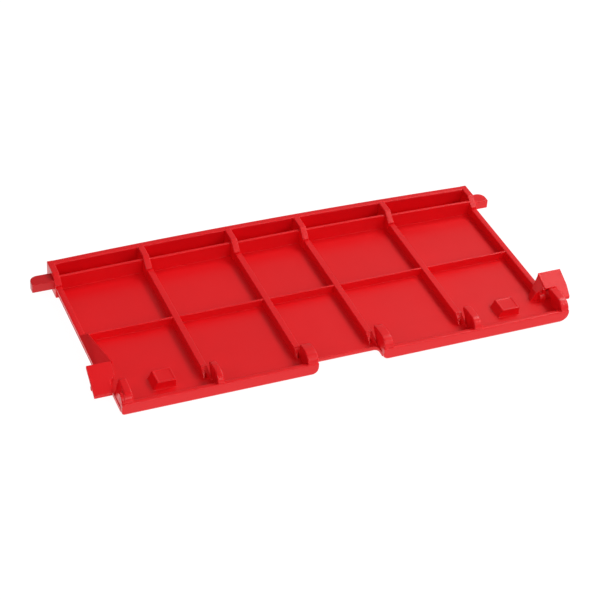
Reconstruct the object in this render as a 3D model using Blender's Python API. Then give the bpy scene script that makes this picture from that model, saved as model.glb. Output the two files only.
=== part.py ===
"""Ribbed hinged flap panel: a red moulded plate with ribs, hooks, tabs and pivot pins (mm)."""
import math
import bmesh
import bpy

for old in list(bpy.data.objects):
    bpy.data.objects.remove(old, do_unlink=True)

# driving dimensions, in millimetres
MM = 0.001
HALF_W = 119.8          # outer face of a side rail
RAIL_IN = 116.4         # inner face of a side rail
PLATE_T = 3.4
RIB_TOP = 8.0
END_TOP = 13.5
PLATE_BACK = 56.5
CROWN = 59.3            # back edge where it bulges most
CROWN_X = -8.0
CROWN_FALL = 0.00018    # drop per square millimetre away from the crown
WALL_T = 3.4
END_FLAT = 46.4
END_FOOT = 41.0
STEP_TOP = 9.0
RIB_END = ((-47.0, 3.4), (-44.8, 6.0), (-42.2, 8.0))
RIBS = ((-70.9, -67.5), (-22.2, -18.8), (16.9, 20.3), (66.8, 70.2))
POST_SHIFT = -0.55
CROSS_T = 1.2
LEDGE_T = 1.6
LEDGE_TOP = 11.5
LEDGES = ((44.9, 46.0), (45.4, 46.2), (45.6, 46.2), (45.8, 45.4), (44.5, 43.4))
LIP_LEFT = (-115.2, -14.3)
LIP_RIGHT = (20.8, 125.2)
LIP_FRONT = -56.5
LIP_BACK = -54.0
LIP_TOP = 7.0
FLOOR_FRONT = -48.5
CLAWS = (("rod_hook_1", -66.8, -63.4, -42.0, 10.6), ("rod_hook_2", -18.8, -14.3, -43.6, 10.6),
         ("rod_hook_3", 21.2, 26.2, -40.8, 10.9), ("rod_hook_4", 71.2, 75.2, -40.8, 10.9),
         ("corner_hook_left", -113.0, -109.2, -42.9, 12.2),
         ("corner_hook_right", 120.8, 125.2, -40.3, 10.9))
CHEEK = (-115.2, -113.0)
PIN_Y = (43.0, 50.6)
PIN_Z = (5.6, 10.6)
PIN_ROUND = 4.2
PIN_TIPS = {"left": -131.4, "right": 127.5}
TAB_TOP = (-32.5, 15.2)
TAB_TIP = (-45.3, 6.3)
TAB_T = 1.5
TAB_LIFT = {"left": 0.0, "right": 0.5}
TAB_PLAN = {"left": ((-125.8, -32.5), (-113.4, -32.5), (-113.2, -38.3), (-116.0, -40.6), (-116.4, -45.3),
                     (-125.6, -45.3)),
            "right": ((118.0, -32.5), (119.2, -39.9), (125.5, -39.9), (125.6, -45.3), (131.5, -45.3),
                      (132.0, -40.0), (131.2, -32.5))}
BRACE_Y = {"left": (-41.4, -39.9), "right": (-39.9, -38.4)}
BLOCKS = {"left": (-94.4, -84.8), "right": (91.5, 101.4)}
BLOCK_Y = (-46.6, -36.8)
BLOCK_TOP = 7.6
BLOCK_FLARE = 1.8       # how far the foot of a block stands out to the left


def material(name, colour, rough):
    mat = bpy.data.materials.new(name)
    mat.use_nodes = True
    bsdf = mat.node_tree.nodes["Principled BSDF"]
    bsdf.inputs["Base Color"].default_value = colour
    bsdf.inputs["Roughness"].default_value = rough
    return mat


def finish(name, bm):
    bmesh.ops.recalc_face_normals(bm, faces=bm.faces[:])
    bmesh.ops.scale(bm, vec=(MM, MM, MM), verts=bm.verts[:])
    mesh = bpy.data.meshes.new(name)
    bm.to_mesh(mesh)
    bm.free()
    obj = bpy.data.objects.new(name, mesh)
    bpy.context.scene.collection.objects.link(obj)
    mesh.materials.append(material(name + "_red", (0.62, 0.012, 0.016, 1.0), 0.35))
    return obj


def solid(name, rings):
    """Join equal rings of points into a closed body, the first and last ring capped."""
    bm = bmesh.new()
    rows = [[bm.verts.new(p) for p in ring] for ring in rings]
    count = len(rows[0])
    for a, b in zip(rows, rows[1:]):
        for i in range(count):
            j = (i + 1) % count
            bm.faces.new((a[i], a[j], b[j], b[i]))
    bm.faces.new(rows[0])
    bm.faces.new(list(reversed(rows[-1])))
    return finish(name, bm)


def prism_x(name, profile, x0, x1):
    """Extrude a YZ profile between two X positions."""
    return solid(name, [[(x, y, z) for y, z in profile] for x in (x0, x1)])


def prism_y(name, profile, y0, y1):
    """Extrude an XZ profile between two Y positions."""
    return solid(name, [[(x, y, z) for x, z in profile] for y in (y0, y1)])


def box(name, x, y, z):
    return prism_x(name, [(y[0], z[0]), (y[1], z[0]), (y[1], z[1]), (y[0], z[1])], x[0], x[1])


def rib_profile():
    """Long rib: level top and a sloping front end that the rod lies against."""
    return list(RIB_END) + [(END_FOOT, RIB_TOP), (END_FOOT, PLATE_T)]


def post_profile(rear):
    """Raised rear end of a rib: a short step, a slope and a flat top."""
    top = [(END_FOOT, STEP_TOP), (END_FLAT, END_TOP), (rear, END_TOP)]
    return [(END_FOOT, PLATE_T)] + top + [(rear, PLATE_T)]


def side_profile():
    """Half of the plate's cross-section, its lower side edge rounded under."""
    return [(113.0, 0.0), (115.2, 0.45), (117.0, 1.4), (118.2, 2.6), (118.6, PLATE_T)]


def back_edge(x):
    """Y of the outer back edge, which bulges gently in plan."""
    return CROWN - CROWN_FALL * (x - CROWN_X) ** 2


# plate
half = side_profile()
plate = half + [(-x, z) for x, z in reversed(half)]
prism_y("base_plate", plate, FLOOR_FRONT, PLATE_BACK)

# front lips with their strip of floor
lip = [(FLOOR_FRONT, 0.0), (-55.2, 0.0), (-56.1, 0.5), (LIP_FRONT, 1.4), (LIP_FRONT, 6.6)]
lip += [(-56.2, LIP_TOP), (LIP_BACK, LIP_TOP), (LIP_BACK, PLATE_T), (FLOOR_FRONT, PLATE_T)]
prism_x("front_lip_left", lip, *LIP_LEFT)
prism_x("front_lip_right", lip, *LIP_RIGHT)
cheek = [(-47.6, PLATE_T), (-49.0, 8.2), (-50.6, 10.3), (-52.4, 10.5), (-54.2, 9.5), (-55.6, LIP_TOP)]
cheek += [(LIP_BACK, LIP_TOP), (LIP_BACK, PLATE_T)]
prism_x("lip_cheek_left", cheek, *CHEEK)
box("corner_pad_right", (118.6, LIP_RIGHT[1]), (FLOOR_FRONT, BRACE_Y["right"][0]), (0.0, PLATE_T))

# side rails: the outer face leans in towards the plate below
for side, s in (("left", -1), ("right", 1)):
    rail = [(-46.0, PLATE_T), (-44.4, 4.0), (-42.6, 5.0), (-41.35, 6.1), (-39.2, RIB_TOP)]
    rail += [(END_FOOT, RIB_TOP), (END_FOOT, PLATE_T)]
    outer = [(s * (HALF_W - 1.2 * (RIB_TOP - z) / (RIB_TOP - PLATE_T)), y, z) for y, z in rail]
    inner = [(s * RAIL_IN, y, z) for y, z in rail]
    solid("side_rail_" + side, [inner, outer])
    rear = back_edge(s * RAIL_IN)
    prism_x("end_post_" + side, post_profile(rear), s * RAIL_IN, s * HALF_W)

# long ribs
posts = []
for k, (x0, x1) in enumerate(RIBS, 1):
    prism_x("rib_%d" % k, rib_profile(), x0, x1)
    a, b = x0 + POST_SHIFT, x1 + POST_SHIFT
    rear = min(back_edge(a), back_edge(b)) - WALL_T - 0.05
    prism_x("rib_end_%d" % k, post_profile(rear), a, b)
    posts.append((a, b))

# cross rib and ledge wall, one segment in each bay
edges = [-RAIL_IN] + [x for pair in RIBS for x in pair] + [RAIL_IN]
ends = [-RAIL_IN] + [x for pair in posts for x in pair] + [RAIL_IN]
for k in range(5):
    x0, x1 = edges[2 * k], edges[2 * k + 1]
    box("cross_rib_%d" % (k + 1), (x0, x1), (-CROSS_T / 2, CROSS_T / 2), (PLATE_T, RIB_TOP - 0.2))
    rings = []
    for x, y in zip(ends[2 * k:2 * k + 2], LEDGES[k]):
        rings.append([(x, y, PLATE_T), (x, y + LEDGE_T, PLATE_T), (x, y + LEDGE_T, LEDGE_TOP),
                      (x, y, LEDGE_TOP)])
    solid("ledge_wall_%d" % (k + 1), rings)

# back wall: stands on the plate's rear edge and wraps down behind it
rings = []
for i in range(13):
    x = RAIL_IN * (i - 6) / 6
    y = back_edge(x)
    rings.append([(x, y - WALL_T, PLATE_T), (x, y - WALL_T, END_TOP), (x, y, END_TOP), (x, y, 0.0),
                  (x, PLATE_BACK, 0.0), (x, PLATE_BACK, PLATE_T)])
solid("back_wall", rings)

# pivot pins: flat tongues with a rounded back corner
for side, s in (("left", -1), ("right", 1)):
    tip = PIN_TIPS[side]
    y0, y1 = PIN_Y
    plan = [(s * HALF_W, y0), (tip, y0), (tip, y1 - PIN_ROUND)]
    for i in range(1, 7):
        t = math.radians(15 * i)
        plan.append((tip - s * PIN_ROUND * (1 - math.cos(t)), y1 - PIN_ROUND * (1 - math.sin(t))))
    plan.append((s * HALF_W, y1))
    solid("pivot_pin_" + side, [[(x, y, z) for x, y in plan] for z in PIN_Z])

# rod hooks: solid rounded claws that rise from the lip and lean back over the rod line
for name, x0, x1, tip_y, tip_z in CLAWS:
    claw = [(LIP_BACK, PLATE_T), (LIP_BACK, LIP_TOP), (-55.6, LIP_TOP), (-55.2, 8.4), (-54.1, 9.9)]
    claw += [(-52.4, 11.0), (-50.2, 11.5), (tip_y - 3.5, max(11.3, tip_z - 0.4)), (tip_y - 0.6, tip_z)]
    claw += [(tip_y, tip_z - 0.8), (tip_y - 0.4, 8.6), (-43.8, 6.0), (-44.8, PLATE_T)]
    prism_x(name, claw, x0, x1)

# snap blocks
for side, (x0, x1) in BLOCKS.items():
    c = 0.4
    y0, y1 = BLOCK_Y
    f = x0 - BLOCK_FLARE
    low = [(f, y0, PLATE_T), (x1, y0, PLATE_T), (x1, y1, PLATE_T), (f, y1, PLATE_T)]
    mid = [(x, y, BLOCK_TOP - c) for x, y in ((x0, y0), (x1, y0), (x1, y1), (x0, y1))]
    top = [(x0 + c, y0 + c), (x1 - c, y0 + c), (x1 - c, y1 - c), (x0 + c, y1 - c)]
    solid("snap_block_" + side, [low, mid, [(x, y, BLOCK_TOP) for x, y in top]])

# latch tabs and what holds them up
run = TAB_TOP[0] - TAB_TIP[0]
rise = TAB_TOP[1] - TAB_TIP[1]
drop = TAB_T * math.hypot(run, rise) / run


def over(y, side):
    """Height of a latch tab's upper face."""
    return TAB_LIFT[side] + TAB_TIP[1] + (y - TAB_TIP[0]) * rise / run


def under(y, side):
    """Height just below a latch tab's lower face."""
    return over(y, side) - drop - 0.05


for side, plan in TAB_PLAN.items():
    solid("latch_tab_" + side, [[(x, y, over(y, side) - d) for x, y in plan] for d in (drop, 0.0)])

# braces under the tabs, outside the rails
for side, x0, x1 in (("left", -125.9, -HALF_W), ("right", HALF_W, 129.0)):
    y0, y1 = BRACE_Y[side]
    rings = []
    for x, z in ((x0, 6.5 if side == "left" else 0.6), (x1, PLATE_T if side == "left" else 4.6)):
        rings.append([(x, y0, z), (x, y1, z), (x, y1, under(y1, side)), (x, y0, under(y0, side))])
    solid("tab_brace_" + side, rings)

# left web: wedge along the rail from the cross rib up to the tab's inner corner
web = []
for x, w, y, z in ((-114.2, -0.7, -0.9, RIB_TOP + 0.3), (-112.0, -0.8, TAB_TOP[0] + 0.2, TAB_TOP[1] - 0.4)):
    web.append([(-RAIL_IN, y, PLATE_T), (x, y, PLATE_T), (x + w, y, z), (0.4 - HALF_W, y, RIB_TOP),
                (-RAIL_IN, y, RIB_TOP)])
solid("web_left", web)

# right gusset: leaning wall between the plate and the tab
g0 = [(112.7, -35.3, PLATE_T), (116.3, -35.3, PLATE_T), (116.3, -39.3, PLATE_T), (111.6, -39.3, PLATE_T)]
g1 = [(114.8, -34.2, 8.05), (116.3, -34.2, 8.05), (116.3, -38.6, 8.05), (114.6, -38.6, 8.05)]
g2 = [(117.6, -33.2, under(-33.2, "right")), (119.0, -33.2, under(-33.2, "right")),
      (119.0, -38.0, under(-38.0, "right")), (118.3, -38.0, under(-38.0, "right"))]
solid("gusset_right", [g0, g1, g2])
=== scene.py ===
import math

import bmesh
import bpy
from mathutils import Matrix, Vector


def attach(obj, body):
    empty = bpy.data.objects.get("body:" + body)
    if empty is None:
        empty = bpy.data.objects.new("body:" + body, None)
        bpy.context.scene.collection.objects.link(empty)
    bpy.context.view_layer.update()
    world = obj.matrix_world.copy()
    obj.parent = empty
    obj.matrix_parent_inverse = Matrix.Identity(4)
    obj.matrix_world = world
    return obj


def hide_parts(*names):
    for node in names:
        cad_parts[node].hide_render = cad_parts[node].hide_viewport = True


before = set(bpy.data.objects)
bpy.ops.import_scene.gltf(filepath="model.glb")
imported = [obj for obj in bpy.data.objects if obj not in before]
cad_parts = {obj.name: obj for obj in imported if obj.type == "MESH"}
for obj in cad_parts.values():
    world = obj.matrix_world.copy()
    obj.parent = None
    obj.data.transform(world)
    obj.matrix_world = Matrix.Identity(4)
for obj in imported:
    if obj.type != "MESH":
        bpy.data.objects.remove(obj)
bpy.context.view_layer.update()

# ---------------------------------------------------------------- sizes, in millimetres
MM = 0.001
FLOOR = 3.4                     # upper face of the plate
RIB_TOP = 8.0
SINK = 0.3                      # how far feet reach down into the plate
HALF_W = 119.8                  # outer face of a side rail
RAIL_IN = 116.4                 # inner face of a side rail
RAIL_LEAN = 1.2                 # how far a rail's outer face leans in at its foot
RIBS = ((-70.9, -67.5), (-22.2, -18.8), (16.9, 20.3), (66.8, 70.2))

END_FOOT = 41.0                 # where the raised rear ends begin
END_STEP = 9.0
END_FLAT = 46.4
END_TOP = 13.5
POSTS = [(x0 - 0.6, x1 - 0.5) for x0, x1 in RIBS]
LEDGES = ((44.9, 46.0), (45.4, 46.2), (45.6, 46.2), (45.8, 45.4), (44.5, 43.4))

BACK_CROWN = 59.26              # back edge where it bulges most
BACK_CROWN_X = -8.0
BACK_FALL = 0.00018             # drop per square millimetre away from the crown
BACK_WALL_T = 3.4

LIP_FRONT, LIP_BACK, LIP_TOP = -56.48, -54.0, 7.0
LIP_LEFT = (-115.2, -14.3)
LIP_RIGHT = (20.8, 125.2)
NOTCH_Y = -48.5
NOTCH_R = 2.2
NOTCH_CUT = 1.4
CORNER_R = 2.0

PIN_TIPS = (("left", -1, -131.4), ("right", 1, 127.5))
PIN_Y = (43.0, 50.6)
PIN_Z = (5.6, 10.6)
PIN_ROUND = 4.2

# node, left side, right side, y of the tip, height of the tip
CLAWS = (("rod_hook_1", -66.8, -63.4, -42.0, 10.6), ("rod_hook_2", -19.9, -14.3, -43.4, 10.6),
         ("rod_hook_3", 21.2, 26.2, -40.8, 10.9), ("rod_hook_4", 71.2, 75.2, -40.8, 10.9),
         ("corner_hook_left", -113.0, -109.2, -42.9, 12.2),
         ("corner_hook_right", 120.8, 125.2, -40.3, 10.9))
CLAW_TOP = 11.5
CORNER_FLARE = 2.1              # how far the left corner claw widens towards its foot

BLOCKS = (("left", -94.4, -84.8), ("right", 91.5, 101.4))
BLOCK_Y = (-46.6, -36.8)
BLOCK_FLARE = 1.8

TAB_TOP = (-32.5, 15.2)
TAB_TIP = (-45.3, 6.3)
TAB_T = 1.5
TAB_SLOPE = (TAB_TOP[1] - TAB_TIP[1]) / (TAB_TOP[0] - TAB_TIP[0])
TAB_DROP = TAB_T * math.hypot(1.0, TAB_SLOPE)
RIGHT_LIFT = 0.5                # the right tab stands this much higher


def back_edge(x):
    """Y of the outer back edge, which bulges gently in plan."""
    return BACK_CROWN - BACK_FALL * (x - BACK_CROWN_X) ** 2


def over(y, lift=0.0):
    """Height of a tab's upper face."""
    return TAB_TIP[1] + (y - TAB_TIP[0]) * TAB_SLOPE + lift


# ---------------------------------------------------------------- materials
RED = (0.80, 0.004, 0.008)
# painted shade: a darker copy of the same red, used only on the left pivot tongue
SHADE_PAINTED_RED = (0.62, 0.006, 0.010)
FLOW_SCALE, SMEAR_SCALE, WAVE_SCALE, GRAIN_SCALE = 22.0, 60.0, 90.0, 1400.0


def plastic(name, base, rough, bump, flow):
    """Moulded red plastic: faint colour flow, uneven gloss, fine grain and a slight waviness."""
    mat = bpy.data.materials.new(name)
    mat.use_nodes = True
    nt = mat.node_tree
    bsdf = nt.nodes["Principled BSDF"]
    bsdf.inputs["IOR"].default_value = 1.49
    bsdf.inputs["Specular IOR Level"].default_value = 0.35
    where = nt.nodes.new("ShaderNodeTexCoord")

    def noise(scale, detail, roughness=0.5):
        node = nt.nodes.new("ShaderNodeTexNoise")
        node.inputs["Scale"].default_value = scale
        node.inputs["Detail"].default_value = detail
        node.inputs["Roughness"].default_value = roughness
        nt.links.new(where.outputs["Object"], node.inputs["Vector"])
        return node.outputs["Fac"]

    def spread(source, low, high):
        """Stretch the middle of a noise over the range from low to high."""
        node = nt.nodes.new("ShaderNodeMapRange")
        node.inputs["From Min"].default_value = 0.3
        node.inputs["From Max"].default_value = 0.7
        node.inputs["To Min"].default_value = low
        node.inputs["To Max"].default_value = high
        nt.links.new(source, node.inputs["Value"])
        return node.outputs["Result"]

    def bumped(height, strength, distance):
        node = nt.nodes.new("ShaderNodeBump")
        node.inputs["Strength"].default_value = strength
        node.inputs["Distance"].default_value = distance
        nt.links.new(height, node.inputs["Height"])
        return node

    cloud = noise(FLOW_SCALE, 3.0)
    mix = nt.nodes.new("ShaderNodeMix")
    mix.data_type = "RGBA"
    mix.inputs["A"].default_value = (*[c * (1.0 - flow) for c in base], 1.0)
    mix.inputs["B"].default_value = (*[c * (1.0 + flow) for c in base], 1.0)
    nt.links.new(spread(cloud, 0.0, 1.0), mix.inputs["Factor"])
    nt.links.new(mix.outputs["Result"], bsdf.inputs["Base Color"])

    smear = noise(SMEAR_SCALE, 4.0, 0.6)
    nt.links.new(spread(smear, rough - 0.04, rough + 0.05), bsdf.inputs["Roughness"])

    grain = bumped(noise(GRAIN_SCALE, 2.0), bump, 0.0002)
    wave = bumped(noise(WAVE_SCALE, 2.0), 0.12, 0.0006)
    nt.links.new(grain.outputs["Normal"], wave.inputs["Normal"])
    nt.links.new(wave.outputs["Normal"], bsdf.inputs["Normal"])
    return mat


MAT_FLOOR = plastic("moulded_red_floor", RED, 0.36, 0.10, 0.03)
MAT_RIB = plastic("moulded_red_ribs", RED, 0.32, 0.08, 0.03)
# painted shade: the plastic again in the darker red, for the left pivot tongue only
MAT_PIN_PAINTED_SHADE = plastic("moulded_red_pin_painted_shade", SHADE_PAINTED_RED, 0.30, 0.08, 0.04)


# ---------------------------------------------------------------- mesh helpers
def finish_mesh(bm, name, mat, nodes, bevel=0.0, segs=2, angle=28.0):
    """Round the sharp edges, turn millimetres into metres and hand the piece to the frame."""
    bmesh.ops.remove_doubles(bm, verts=bm.verts[:], dist=1e-5)
    bmesh.ops.recalc_face_normals(bm, faces=bm.faces[:])
    if bevel:
        sharp = [e for e in bm.edges if len(e.link_faces) == 2
                 and e.calc_face_angle(0.0) > math.radians(angle)]
        bmesh.ops.bevel(bm, geom=sharp, offset=bevel, offset_type="OFFSET", segments=segs,
                        profile=0.5, affect="EDGES", clamp_overlap=True)
    for f in bm.faces:
        f.smooth = True
    bmesh.ops.scale(bm, vec=(MM, MM, MM), verts=bm.verts[:])
    me = bpy.data.meshes.new(name)
    bm.to_mesh(me)
    bm.free()
    me.set_sharp_from_angle(angle=math.radians(50))
    me.materials.append(mat)
    ob = bpy.data.objects.new(name, me)
    bpy.context.scene.collection.objects.link(ob)
    shading = ob.modifiers.new("even_shading", "WEIGHTED_NORMAL")
    shading.keep_sharp = True
    shading.weight = 60
    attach(ob, "root")
    if nodes:
        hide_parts(*nodes)


def loft(rings):
    """Closed body through equal rings of points, with the first and last ring capped."""
    bm = bmesh.new()
    rows = [[bm.verts.new(p) for p in ring] for ring in rings]
    count = len(rows[0])
    for a, b in zip(rows, rows[1:]):
        for i in range(count):
            j = (i + 1) % count
            bm.faces.new((a[i], a[j], b[j], b[i]))
    bm.faces.new(rows[0])
    bm.faces.new(list(reversed(rows[-1])))
    return bm


def prism_x(profile, x0, x1):
    """Extrude a YZ profile between two X positions."""
    return loft([[(x, y, z) for y, z in profile] for x in (x0, x1)])


def bend(u, v, r, angles):
    """Points on a circle round u, v at the given angles in degrees."""
    return [(u + r * math.cos(math.radians(a)), v + r * math.sin(math.radians(a))) for a in angles]


def arc(u, v, r, start, end):
    """Five equal steps along a circle."""
    return bend(u, v, r, [start + (end - start) * i / 5 for i in range(6)])


def wall_section(half_top, height, draft, fillet, round_top):
    """Cross-section of an upright wall: sunk foot, concave fillet, drafted side, round top."""
    foot = half_top + draft + fillet
    top = FLOOR + height
    half = [(foot, FLOOR - SINK), (foot, FLOOR + 0.01)]
    half += bend(foot, FLOOR + fillet, fillet, (245, 220, 195, 180))
    half += bend(half_top - round_top, top - round_top, round_top, (0, 30, 60, 90))
    return half + [(-u, v) for u, v in reversed(half)]


# ---------------------------------------------------------------- floor panel
def outline(side, front, back):
    """Plan outline of the floor with its front notch; the insets shrink it."""
    right, left = HALF_W - 1.0 - side, -HALF_W + 1.0 + side
    front_left, front_right = LIP_LEFT[0] - 0.2 + side * 0.08, LIP_RIGHT[1] - 0.3 - side * 0.9
    yf = LIP_FRONT + 1.0 + front
    n0, n1, ny = LIP_LEFT[1] - front, LIP_RIGHT[0] + front, NOTCH_Y + front
    pts = arc(front_left + CORNER_R, yf + CORNER_R, CORNER_R, 180, 270)
    pts += [(n0 - NOTCH_CUT, yf), (n0, yf + NOTCH_CUT)]
    pts += arc(n0 + NOTCH_R, ny - NOTCH_R, NOTCH_R, 180, 90)
    pts += arc(n1 - NOTCH_R, ny - NOTCH_R, NOTCH_R, 90, 0)
    pts += [(n1, yf + NOTCH_CUT), (n1 + NOTCH_CUT, yf)]
    pts += arc(front_right - CORNER_R, yf + CORNER_R, CORNER_R, 270, 360)
    pts += [(front_right, -39.3), (right + 0.5, -39.1), (right, -38.6), (right, END_FOOT)]
    rear = (right, 90.0, 60.0, 30.0, 0.0, -30.0, -60.0, -90.0, left)
    pts += [(x, back_edge(x) - 0.3 - back) for x in rear]
    return pts + [(left, END_FOOT), (left, -38.0), (front_left, -39.5)]


def floor_panel():
    """Plate whose edges round under towards its lower face."""
    # height, then how far the sides, the front and the back are drawn in
    levels = ((FLOOR, 0.3, 0.25, 0.2), (FLOOR - 0.25, 0.0, 0.0, 0.0), (2.4, 0.35, 0.0, 0.0),
              (1.5, 1.0, 0.05, 0.05), (0.8, 2.1, 0.3, 0.2), (0.3, 3.6, 0.8, 0.4), (0.0, 5.6, 1.6, 0.8))
    rings = [[(x, y, z) for x, y in outline(*insets)] for z, *insets in levels]
    finish_mesh(loft(rings), "floor_panel", MAT_FLOOR, ["base_plate", "corner_pad_right"])


floor_panel()


# ---------------------------------------------------------------- front lips
LIP_STEPS = 8
LIP_SHRINK = 0.12               # how much the section shrinks at the very end of a lip
LIP_SOFT = 0.5                  # over what length it shrinks


def lip_section(low):
    """YZ section of a lip whose lower edge is at the given height."""
    edge, front_r, back_r = 1.5, 0.55, 0.5
    crest = LIP_TOP - 0.05
    prof = [(LIP_BACK + 0.6, low), (LIP_BACK, low)]
    prof += bend(LIP_FRONT + edge, low + edge, edge, (270, 248, 225, 202, 180))
    prof += [(LIP_FRONT + 0.05, crest - 1.6)]
    prof += bend(LIP_FRONT + 0.1 + front_r, crest - front_r, front_r, (180, 150, 120, 90))
    prof += bend(LIP_BACK - back_r, crest - back_r, back_r, (90, 45, 0))
    return prof + [(LIP_BACK, FLOOR + 0.8), (LIP_BACK + 0.25, FLOOR + 0.2), (LIP_BACK + 0.9, FLOOR - 0.2)]


def lip_bar(name, x0, x1, round_left, round_right, node):
    """Front lip whose lower edge curves up into each end by that end's radius."""
    eases = [1 - math.cos(math.radians(90 * i / LIP_STEPS)) for i in range(LIP_STEPS + 1)]
    stations = [(x0 + round_left * e, round_left * e, round_left) for e in eases]
    stations += [(x1 - round_right * e, round_right * e, round_right) for e in reversed(eases)]
    rings = []
    for x, inward, r in stations:
        reach = r - inward
        low = r - math.sqrt(r * r - reach * reach)
        size = 1.0 - LIP_SHRINK * (1.0 - min(1.0, inward / LIP_SOFT))
        cy, cz = (LIP_FRONT + LIP_BACK) / 2, (low + LIP_TOP) / 2
        rings.append([(x, cy + (y - cy) * size, min(cz + (z - cz) * size, LIP_TOP))
                      for y, z in lip_section(low)])
    finish_mesh(loft(rings), name, MAT_RIB, [node])


lip_bar("lip_bar_left", *LIP_LEFT, 1.4, 3.2, "front_lip_left")
lip_bar("lip_bar_right", *LIP_RIGHT, 3.0, 4.5, "front_lip_right")


# ---------------------------------------------------------------- long ribs
# y and height: the front end has a small raised rim
RIB_ROWS = ((-42.3, 4.2), (-42.15, 4.6), (-41.8, 4.95), (-40.9, 4.95), (-40.4, 4.6), (41.2, 4.6))
# the two legs of the fork: shift of the left side, shift of the right side, y and top
LEG_A = ((0.1, 0.0, -41.9, 7.9), (0.1, 0.0, -42.6, 7.5), (0.1, 0.0, -43.6, 6.9),
         (0.1, -0.05, -44.2, 6.4), (0.15, -0.55, -45.0, 5.5), (0.2, -1.0, -45.9, 4.4),
         (0.25, -1.2, -46.6, 3.5))
LEG_B = ((0.0, -0.1, -41.9, 7.9), (0.0, -0.1, -42.6, 7.5), (0.0, -0.05, -43.6, 6.9),
         (0.05, 0.0, -44.2, 6.4), (0.75, 0.2, -45.2, 5.6), (1.3, 0.5, -46.4, 4.8),
         (1.7, 0.8, -47.4, 4.0), (1.8, 0.9, -48.0, 3.5))
LEG_EDGE = 0.07
LEG_FOOT = 0.15


def rib_body(name, x0, x1, node):
    """Long rib with a small raised rim where its front end breaks away."""
    middle, half = (x0 + x1) / 2, (x1 - x0) / 2
    rings = [[(middle + u, y, z) for u, z in wall_section(half, h, 0.15, 0.2, 0.4)] for y, h in RIB_ROWS]
    finish_mesh(loft(rings), name, MAT_RIB, [node])


def fork_leg(name, left, right, rows):
    """One leg of a rib's forked front end."""
    rings = []
    for shift_left, shift_right, y, z in rows:
        a, b = left + shift_left, right + shift_right
        rings.append([(a - LEG_FOOT, y, FLOOR - SINK), (b + LEG_FOOT, y, FLOOR - SINK),
                      (b, y, z - LEG_EDGE), (b - LEG_EDGE, y, z), (a + LEG_EDGE, y, z),
                      (a, y, z - LEG_EDGE)])
    finish_mesh(loft(rings), name, MAT_RIB, [])


for k, (x0, x1) in enumerate(RIBS, 1):
    middle = (x0 + x1) / 2
    rib_body("long_rib_%d" % k, x0, x1, "rib_%d" % k)
    fork_leg("rib_fork_a_%d" % k, x0, middle, LEG_A)
    fork_leg("rib_fork_b_%d" % k, middle, x1, LEG_B)


# ---------------------------------------------------------------- raised rear ends and side rails
def post_profile(rear, foot):
    """Raised rear end: a short step, a slope and a flat top."""
    return [(END_FOOT, foot), (END_FOOT, END_STEP), (END_FLAT, END_TOP), (rear, END_TOP), (rear, foot)]


for k, (x0, x1) in enumerate(POSTS, 1):
    rear = back_edge((x0 + x1) / 2) - BACK_WALL_T + 0.3
    finish_mesh(prism_x(post_profile(rear, FLOOR - SINK), x0, x1), "rib_end_cap_%d" % k, MAT_RIB,
                ["rib_end_%d" % k], bevel=0.55, segs=3)

# y and height
RAIL_ROWS = ((-41.5, 1.2), (-41.35, 2.7), (-39.2, 4.6), (41.2, 4.6))


def rail(name, s, node):
    """Side rail with a soft inner foot, a round top and an outer face that leans in below."""
    rings = []
    for y, h in RAIL_ROWS:
        top = FLOOR + h
        shoulder = RAIL_LEAN * (RIB_TOP - top + 0.7) / (RIB_TOP - FLOOR)
        sec = [(RAIL_IN - 0.3, FLOOR - 0.2), (RAIL_IN - 0.2, FLOOR + 0.01),
               (RAIL_IN - 0.08, FLOOR + 0.1), (RAIL_IN - 0.02, FLOOR + 0.3),
               (RAIL_IN, top - min(0.5, h * 0.4)), (RAIL_IN + 0.15, top - 0.15), (RAIL_IN + 0.5, top),
               (HALF_W - 0.7, top), (HALF_W - 0.2, top - 0.2),
               (HALF_W - shoulder, top - min(0.7, h * 0.5)), (HALF_W - RAIL_LEAN, FLOOR),
               (HALF_W - RAIL_LEAN - 0.3, FLOOR - 0.6), (HALF_W - 4, FLOOR - 0.6)]
        rings.append([(s * x, y, z) for x, z in sec])
    finish_mesh(loft(rings), name, MAT_RIB, [node])


rail("rail_left", -1, "side_rail_left")
rail("rail_right", 1, "side_rail_right")
for side, s in (("left", -1), ("right", 1)):
    x0, x1 = sorted((s * RAIL_IN, s * HALF_W))
    finish_mesh(prism_x(post_profile(back_edge(s * RAIL_IN), 1.2), x0, x1), "end_post_cap_" + side,
                MAT_RIB, ["end_post_" + side], bevel=0.35)


# ---------------------------------------------------------------- cross rib, ledge wall, back wall
CROSS_HALF, CROSS_H = 0.6, 4.4
LEDGE_HALF, LEDGE_H = 0.75, 8.1
BURY = 0.3                      # how far a wall's ends run into what it meets


def thin_wall(name, half, height, start, end, node):
    """Thin upright wall between two points of the plan."""
    sec = wall_section(half, height, 0.05, 0.12, half * 0.6)
    finish_mesh(loft([[(x, y + u, z) for u, z in sec] for x, y in (start, end)]), name, MAT_RIB, [node])


def bays(walls):
    """Left and right end of each of the five bays between the rails and four walls."""
    edges = [-RAIL_IN] + [x for pair in walls for x in pair] + [RAIL_IN]
    return [(a - BURY, b + BURY) for a, b in zip(edges[0::2], edges[1::2])]


for k, (a, b) in enumerate(bays(RIBS), 1):
    thin_wall("cross_wall_%d" % k, CROSS_HALF, CROSS_H, (a, 0.0), (b, 0.0), "cross_rib_%d" % k)

for k, ((a, b), (ya, yb)) in enumerate(zip(bays(POSTS), LEDGES), 1):
    thin_wall("ledge_%d" % k, LEDGE_HALF, LEDGE_H, (a, ya + 0.8), (b, yb + 0.8), "ledge_wall_%d" % k)


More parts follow.
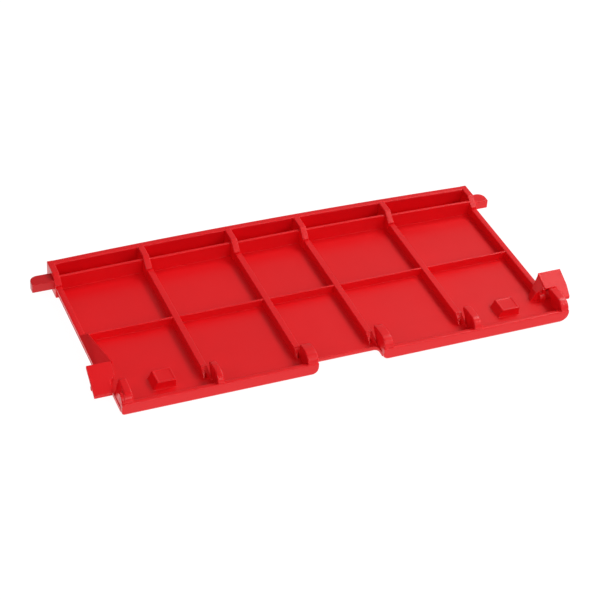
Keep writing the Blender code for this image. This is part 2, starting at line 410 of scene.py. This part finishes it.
def rear_wall():
    """Tall back wall that follows the bulging back edge."""
    rings = []
    for i in range(-12, 13):
        x = (RAIL_IN + BURY) * i / 12
        back = back_edge(x)
        face = back - BACK_WALL_T
        sec = [(face - 0.5, FLOOR - 0.2), (face - 0.1, FLOOR + 0.2), (face, FLOOR + 0.8), (face, 12.8),
               (face + 0.12, 13.15), (face + 0.4, 13.4), (face + 0.8, END_TOP), (back - 0.5, END_TOP),
               (back - 0.15, 13.35), (back, 13.0), (back, 1.4), (back - 0.3, 0.9), (back - 1.0, 0.9)]
        rings.append([(x, y, z) for y, z in sec])
    finish_mesh(loft(rings), "rear_wall", MAT_RIB, ["back_wall"])


rear_wall()


# ---------------------------------------------------------------- pivot tongues
def pivot_tongue(side, s, tip):
    """Flat tongue with a rounded back corner; the left one gets a deeper red, which is painted shade."""
    y0, y1 = PIN_Y
    root = s * (HALF_W - 0.4)
    plan = [(root, y0), (tip, y0), (tip, y1 - PIN_ROUND)]
    for i in range(1, 10):
        t = math.radians(10 * i)
        plan.append((tip - s * PIN_ROUND * (1 - math.cos(t)), y1 - PIN_ROUND * (1 - math.sin(t))))
    plan.append((root, y1))
    # the left tongue takes the darker red that paints its shade; the right one keeps the plain red
    finish_mesh(loft([[(x, y, z) for x, y in plan] for z in PIN_Z]), "pin_" + side,
                MAT_PIN_PAINTED_SHADE if s < 0 else MAT_RIB, ["pivot_pin_" + side], bevel=0.35, segs=3, angle=40.0)


for side, s, tip in PIN_TIPS:
    pivot_tongue(side, s, tip)


# ---------------------------------------------------------------- claws
def claw(node, x0, x1, tip_y, tip_z, flare):
    """Solid rounded claw that rises from the lip and reaches back over the plate."""
    prof = [(LIP_BACK, FLOOR - SINK), (-55.2, 4.6), (-55.95, 6.2), (-55.85, 7.4), (-55.4, 8.7),
            (-54.6, 9.8), (-53.5, 10.7), (-52.1, 11.25), (-50.4, CLAW_TOP), (tip_y - 5.5, CLAW_TOP),
            (tip_y - 3.0, max(11.3, tip_z - 0.3)), (tip_y - 0.9, tip_z), (tip_y - 0.2, tip_z - 0.3),
            (tip_y, tip_z - 0.9), (tip_y - 0.3, 8.7), (-43.6, 6.2), (-44.6, 4.3), (-45.0, FLOOR - SINK)]
    left = [(x0 - flare * min(1.0, (CLAW_TOP - z) / 6.5), y, z) for y, z in prof]
    right = [(x1, y, z) for y, z in prof]
    finish_mesh(loft([left, right]), node.replace("hook", "claw"), MAT_RIB, [node],
                bevel=0.6, segs=3, angle=60.0)


for node, x0, x1, tip_y, tip_z in CLAWS:
    claw(node, x0, x1, tip_y, tip_z, CORNER_FLARE if node == "corner_hook_left" else 0.0)

CHEEK = ((-47.4, FLOOR - SINK), (-48.0, 6.0), (-49.2, 8.8), (-50.6, 10.3), (-52.0, 10.6), (-53.5, 10.2),
         (-54.8, 9.0), (-55.7, 7.4), (-56.1, 5.6), (-55.6, 2.0), (LIP_BACK, 1.5))
finish_mesh(prism_x(CHEEK, LIP_LEFT[0] + 0.1, -112.6), "lip_cheek", MAT_RIB, ["lip_cheek_left"],
            bevel=0.5, segs=3, angle=60.0)


# ---------------------------------------------------------------- snap blocks
BLOCK_RIM = 7.25
BLOCK_CORNER = 0.35
# height and inset: a soft foot, upright sides, a rounded rim and a shallow dish on top
BLOCK_LEVELS = ((FLOOR - 0.2, -0.5), (FLOOR + 0.05, -0.35), (FLOOR + 0.5, -0.05), (BLOCK_RIM, 0.0),
                (7.5, 0.08), (7.6, 0.3), (7.6, 0.8), (7.5, 1.0), (7.35, 1.3))


def snap_block(side, x0, x1):
    """Low square block whose foot stands out to the left."""
    c = BLOCK_CORNER
    rings = []
    for z, inset in BLOCK_LEVELS:
        a = x0 + inset - BLOCK_FLARE * max(0.0, BLOCK_RIM - z) / (BLOCK_RIM - FLOOR)
        b, e, f = x1 - inset, BLOCK_Y[0] + inset, BLOCK_Y[1] - inset
        rings.append([(a + c, e, z), (b - c, e, z), (b, e + c, z), (b, f - c, z), (b - c, f, z),
                      (a + c, f, z), (a, f - c, z), (a, e + c, z)])
    finish_mesh(loft(rings), "block_" + side, MAT_RIB, ["snap_block_" + side])


for side, x0, x1 in BLOCKS:
    snap_block(side, x0, x1)


# ---------------------------------------------------------------- latch tabs and what holds them up
def tab(side, plan, lift):
    """Sloped slab over a plan outline."""
    low = [(x, y, over(y, lift) - TAB_DROP) for x, y in plan]
    top = [(x, y, over(y, lift)) for x, y in plan]
    finish_mesh(loft([low, top]), "tab_" + side, MAT_RIB, ["latch_tab_" + side], bevel=0.3, segs=3)


tab("left", [(-125.6, TAB_TIP[0]), (-116.4, TAB_TIP[0]), (-116.0, -40.6), (-113.2, -38.3),
             (-113.4, TAB_TOP[0]), (-125.8, TAB_TOP[0])], 0.0)
tab("right", [(118.0, TAB_TOP[0]), (119.2, -39.9), (125.5, -39.9), (125.6, TAB_TIP[0]),
              (131.5, TAB_TIP[0]), (132.0, -40.0), (131.2, TAB_TOP[0])], RIGHT_LIFT)


def brace(side, feet, y0, y1, lift, sink):
    """Upright plate under a tab; feet holds the x and the lower edge of each station."""
    rings = [[(x, y0, z), (x, y1, z), (x, y1, over(y1, lift) - sink), (x, y0, over(y0, lift) - sink)]
             for x, z in feet]
    finish_mesh(loft(rings), "tab_brace_" + side, MAT_RIB, ["tab_brace_" + side], bevel=0.2)


brace("left", ((-125.9, 6.5), (-118.8, FLOOR)), -41.4, -39.9, 0.0, 1.6)
brace("right", ((118.2, 3.2), (118.7, 3.2), (118.8, 0.6), (129.0, 4.6)), -39.9, -38.4, RIGHT_LIFT, 0.7)


def web():
    """Wedge along the left rail that climbs from the cross rib to the left tab."""
    out, low, base = -119.4, 7.6, 3.2
    on_rail = RIB_TOP + 0.03
    start, end = -0.6, -32.4
    rings = [[(out, start, low), (-114.2, start, base), (-114.8, start, 8.0), (-115.3, start, 8.3),
              (out, start, on_rail)],
             [(out, end, low), (-112.0, end, base), (-112.6, end, 14.5), (-113.1, end, 14.9),
              (out, end, on_rail)]]
    finish_mesh(loft(rings), "tab_web_left", MAT_RIB, ["web_left"])


def gusset():
    """Leaning wall between the plate and the right tab."""
    foot = [(112.7, -35.3, 3.2), (116.6, -35.3, 3.2), (116.6, -39.6, 3.2), (111.6, -39.3, 3.2)]
    waist = [(114.8, -34.2, 8.05), (116.6, -34.2, 8.05), (116.6, -39.0, 8.05), (114.6, -39.0, 8.05)]
    rear, front = over(-32.8) - 0.3, over(-39.0) - 0.3
    head = [(118.0, -32.8, rear), (119.6, -32.8, rear), (119.6, -39.0, front), (119.0, -39.0, front)]
    finish_mesh(loft([foot, waist, head]), "tab_gusset_right", MAT_RIB, ["gusset_right"], bevel=0.3)


web()
gusset()


# ---------------------------------------------------------------- studio: floor, light and camera
GROUND_SIZE = 6.0
# near distance and glow, far distance and glow
GROUND_FADE = (0.6, 0.96, 1.6, 0.45)
SKY_BASE, SKY_RIGHT, SKY_BACK = 0.11, 0.68, 0.08


def studio_floor():
    """Floor whose white glow fades with distance from the object."""
    bm = bmesh.new()
    bmesh.ops.create_grid(bm, x_segments=1, y_segments=1, size=GROUND_SIZE)
    me = bpy.data.meshes.new("studio_floor")
    bm.to_mesh(me)
    bm.free()
    ground = bpy.data.objects.new("studio_floor", me)
    bpy.context.scene.collection.objects.link(ground)
    mat = bpy.data.materials.new("studio_white")
    mat.use_nodes = True
    nt = mat.node_tree
    bsdf = nt.nodes["Principled BSDF"]
    bsdf.inputs["Base Color"].default_value = (0.12, 0.12, 0.12, 1.0)
    bsdf.inputs["Roughness"].default_value = 0.9
    bsdf.inputs["Specular IOR Level"].default_value = 0.1
    bsdf.inputs["Emission Color"].default_value = (1.0, 1.0, 1.0, 1.0)
    where = nt.nodes.new("ShaderNodeTexCoord")
    away = nt.nodes.new("ShaderNodeVectorMath")
    away.operation = "LENGTH"
    fade = nt.nodes.new("ShaderNodeMapRange")
    for socket, value in zip(("From Min", "To Min", "From Max", "To Max"), GROUND_FADE):
        fade.inputs[socket].default_value = value
    nt.links.new(where.outputs["Object"], away.inputs[0])
    nt.links.new(away.outputs["Value"], fade.inputs["Value"])
    nt.links.new(fade.outputs["Result"], bsdf.inputs["Emission Strength"])
    me.materials.append(mat)


def sky():
    """White studio surround, dim in front and brighter towards the back and the right."""
    world = bpy.data.worlds.new("studio")
    bpy.context.scene.world = world
    world.use_nodes = True
    nt = world.node_tree
    background = nt.nodes["Background"]
    background.inputs["Color"].default_value = (1.0, 1.0, 1.0, 1.0)
    where = nt.nodes.new("ShaderNodeTexCoord")
    split = nt.nodes.new("ShaderNodeSeparateXYZ")
    nt.links.new(where.outputs["Generated"], split.inputs["Vector"])

    def maths(operation, first, second):
        """One step of arithmetic; the second value is a number or another node's output."""
        node = nt.nodes.new("ShaderNodeMath")
        node.operation = operation
        nt.links.new(first, node.inputs[0])
        if isinstance(second, float):
            node.inputs[1].default_value = second
        else:
            nt.links.new(second, node.inputs[1])
        return node.outputs[0]

    right = maths("MULTIPLY", maths("MAXIMUM", split.outputs["X"], 0.0), SKY_RIGHT)
    back = maths("MULTIPLY", maths("MAXIMUM", split.outputs["Y"], 0.0), SKY_BACK)
    strength = maths("ADD", maths("ADD", right, back), SKY_BASE)
    nt.links.new(strength, background.inputs["Strength"])


def softbox(name, where, target, size, power):
    """Rectangular area light aimed at a target."""
    data = bpy.data.lights.new(name, "AREA")
    data.shape = "RECTANGLE"
    data.size, data.size_y = size
    data.energy = power
    ob = bpy.data.objects.new(name, data)
    bpy.context.scene.collection.objects.link(ob)
    ob.location = where
    ob.rotation_euler = (Vector(target) - Vector(where)).to_track_quat("-Z", "Y").to_euler()


def camera():
    """Long lens above the front left; the columns of its rotation are its right, up and back."""
    cam = bpy.data.cameras.new("camera")
    cam.sensor_width = 36.0
    cam.lens = 111.42
    cam.clip_start, cam.clip_end = 0.05, 50.0
    ob = bpy.data.objects.new("camera", cam)
    bpy.context.scene.collection.objects.link(ob)
    axes = Matrix(((0.9263, 0.1848, -0.3285), (-0.3729, 0.5755, -0.7278), (0.0546, 0.7966, 0.6020)))
    ob.matrix_world = Matrix.Translation((-0.3163, -0.6973, 0.5791)) @ axes.to_4x4()
    bpy.context.scene.camera = ob


studio_floor()
sky()
softbox("softbox_right", (0.8, 0.36, 0.96), (0, 0, 0), (0.4, 0.4), 5.4)
softbox("softbox_front", (0.75, -0.46, 0.85), (0.1, 0, 0), (0.55, 0.5), 3.4)
softbox("softbox_low", (0.1, -1.25, 0.75), (0, 0, 0), (0.9, 0.5), 4.6)
softbox("softbox_left", (-1.05, -0.35, 0.85), (0, 0, 0), (0.8, 0.8), 4.6)
camera()
bpy.context.scene.view_settings.view_transform = "Standard"
